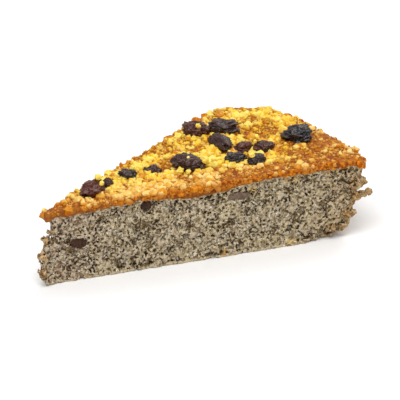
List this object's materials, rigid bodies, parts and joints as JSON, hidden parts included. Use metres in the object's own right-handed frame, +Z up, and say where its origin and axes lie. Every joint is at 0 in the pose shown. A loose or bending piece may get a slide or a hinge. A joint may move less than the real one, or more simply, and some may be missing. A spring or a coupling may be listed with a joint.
{
  "type": "cake slice",
  "caption": "Wedge-shaped slice of flourless cake with an open grey crumb, a baked butter-crumble top and raisins, resting on its flat base.",
  "frame": {"origin": "centre of the slice's box, on the surface that its base stands on", "axes": "+X from the tip towards the rim along the slice, +Z up"},
  "size_m": [0.1226, 0.0709, 0.0338],
  "materials": {
    "crumb": "matte, porous, grey-brown sponge",
    "crumble": "golden yellow baked crumble over a brown crust",
    "raisin": "dark brown, wrinkled, with a soft shine",
    "cut_raisin": "dark brown, moist cut flesh"
  },
  "bodies": {
    "root": {"sponge": "crumb", "crumble_topping": "crumble", "raisin_01": "raisin", "raisin_02": "raisin", "raisin_03": "raisin", "raisin_04": "raisin", "raisin_05": "raisin", "raisin_06": "raisin", "raisin_07": "raisin", "raisin_08": "raisin", "raisin_09": "raisin", "raisin_10": "raisin", "raisin_11": "raisin", "raisin_12": "raisin", "raisin_13": "raisin", "cut_raisin_1": "cut_raisin", "cut_raisin_2": "cut_raisin", "cut_raisin_3": "cut_raisin"}
  },
  "joints": []
}
